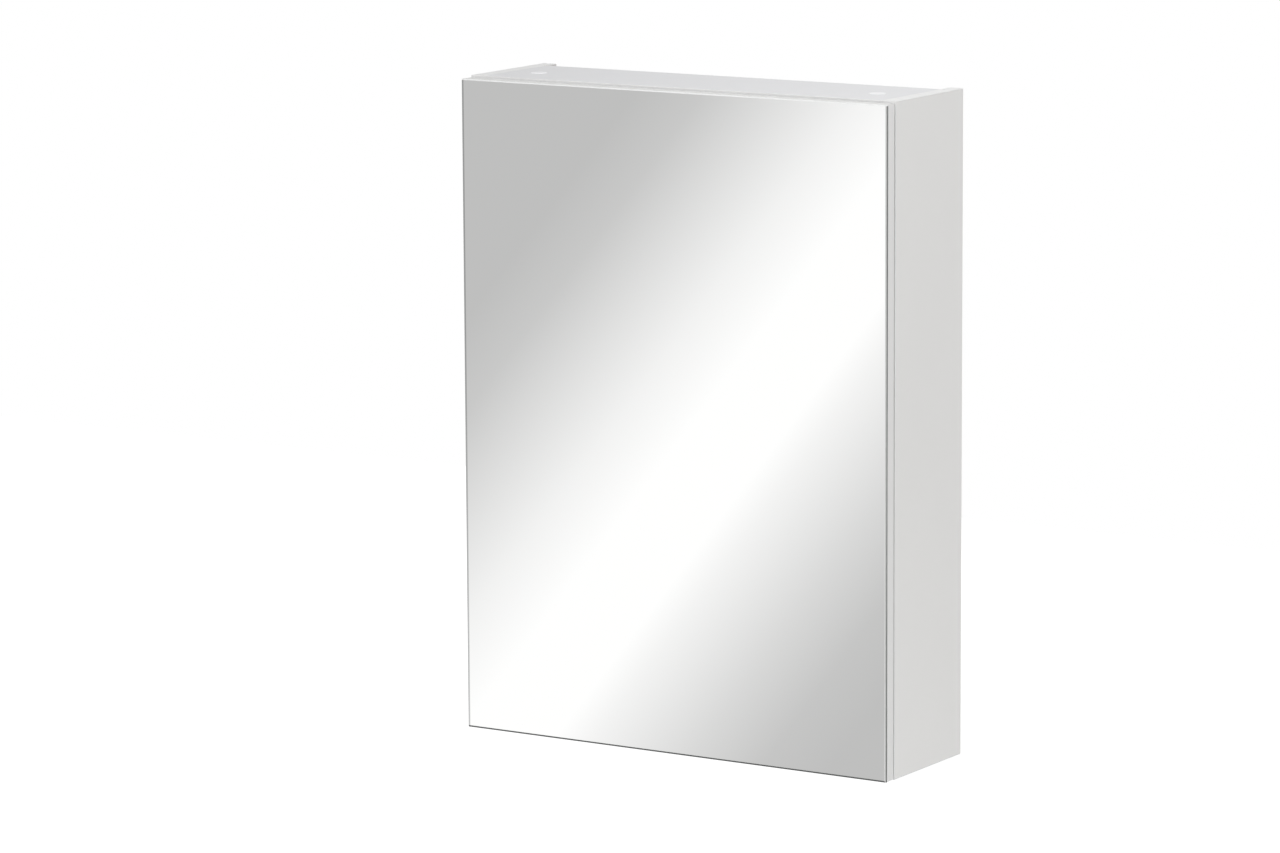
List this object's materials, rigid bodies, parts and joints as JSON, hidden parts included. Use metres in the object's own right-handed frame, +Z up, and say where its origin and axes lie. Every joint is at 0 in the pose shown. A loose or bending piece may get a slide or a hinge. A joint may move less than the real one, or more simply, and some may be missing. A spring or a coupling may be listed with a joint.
{
  "type": "mirror cabinet",
  "caption": "Wall-hung bathroom cabinet with white board sides, a full-face mirrored door on concealed hinges and loose shelves inside.",
  "frame": {"origin": "on the wall plane, midway between the two hanger holes", "axes": "+X to the viewer's right, +Y into the wall, +Z up; the mirror faces -Y"},
  "size_m": [0.5, 0.154, 0.682],
  "materials": {
    "white_melamine": "white melamine faced chipboard, fine satin texture",
    "white_hardboard": "white lacquered thin fibreboard",
    "mirror": "silvered float glass with ground edges",
    "white_plastic": "moulded white, satin",
    "clear_rubber": "clear soft bumper",
    "tape_foam": "double-sided foam tape",
    "beech": "fluted beech",
    "zinc": "die-cast zinc, dull",
    "nickel_steel": "nickel plated pressed steel",
    "plated_screws": "bright zinc plated",
    "galvanised_steel": "galvanised sheet"
  },
  "bodies": {
    "carcass": {"side_panel_left": "white_melamine", "side_panel_right": "white_melamine", "top_panel": "white_melamine", "bottom_panel": "white_melamine", "top_cam_caps": "white_plastic", "bottom_cam_caps": "white_plastic", "back_panel": "white_hardboard", "back_panel_nails": "plated_screws", "cam_locks": "zinc", "cam_bolts": "plated_screws", "wooden_dowels": "beech", "hanger_bracket_left": "galvanised_steel", "hanger_bracket_right": "galvanised_steel", "hanger_screws": "plated_screws", "lower_shelf_pins": "nickel_steel", "upper_shelf_pins": "nickel_steel", "lower_hinge_plate": "nickel_steel", "upper_hinge_plate": "nickel_steel", "lower_hinge_arm": "nickel_steel", "upper_hinge_arm": "nickel_steel", "hinge_plate_screws": "plated_screws", "hinge_arm_screws": "plated_screws", "hinge_arm_pins": "nickel_steel"},
    "hinge_main_links": {"lower_hinge_main_link": "nickel_steel", "upper_hinge_main_link": "nickel_steel"},
    "hinge_guide_links": {"lower_hinge_guide_links": "nickel_steel", "upper_hinge_guide_links": "nickel_steel"},
    "door": {"door_board": "white_melamine", "mirror_tape": "tape_foam", "mirror_glass": "mirror", "door_bumpers": "clear_rubber", "lower_hinge_cup": "nickel_steel", "upper_hinge_cup": "nickel_steel", "hinge_cup_pins": "nickel_steel", "hinge_cup_screws": "plated_screws"},
    "lower_shelf": {"lower_shelf": "white_melamine"},
    "upper_shelf": {"upper_shelf": "white_melamine"}
  },
  "joints": [
    {"name": "main_link_swing", "type": "hinge", "parent": "carcass", "child": "hinge_main_links", "pos_m": [-0.2225, -0.1366, 0], "axis": [0, 0, 1], "range_deg": [0, 35.73]},
    {"name": "door_swing", "type": "hinge", "parent": "hinge_main_links", "child": "door", "pos_m": [-0.2397, -0.1406, 0], "axis": [0, 0, -1], "range_deg": [0, 130.62]},
    {"name": "guide_link_swing", "type": "hinge", "parent": "carcass", "child": "hinge_guide_links", "pos_m": [-0.218, -0.1446, 0], "axis": [0, 0, 1], "range_deg": [0, 47.81]},
    {"name": "lower_shelf_lift", "type": "slide", "parent": "carcass", "child": "lower_shelf", "axis": [0, 0, 1], "range_m": [0, 0.17]},
    {"name": "upper_shelf_lift", "type": "slide", "parent": "carcass", "child": "upper_shelf", "axis": [0, 0, 1], "range_m": [0, 0.095]}
  ],
  "couplings": [
    {"joint": "main_link_swing", "follows": "door_swing", "ratio": 0.27273},
    {"joint": "guide_link_swing", "follows": "door_swing", "ratio": 0.36524}
  ]
}
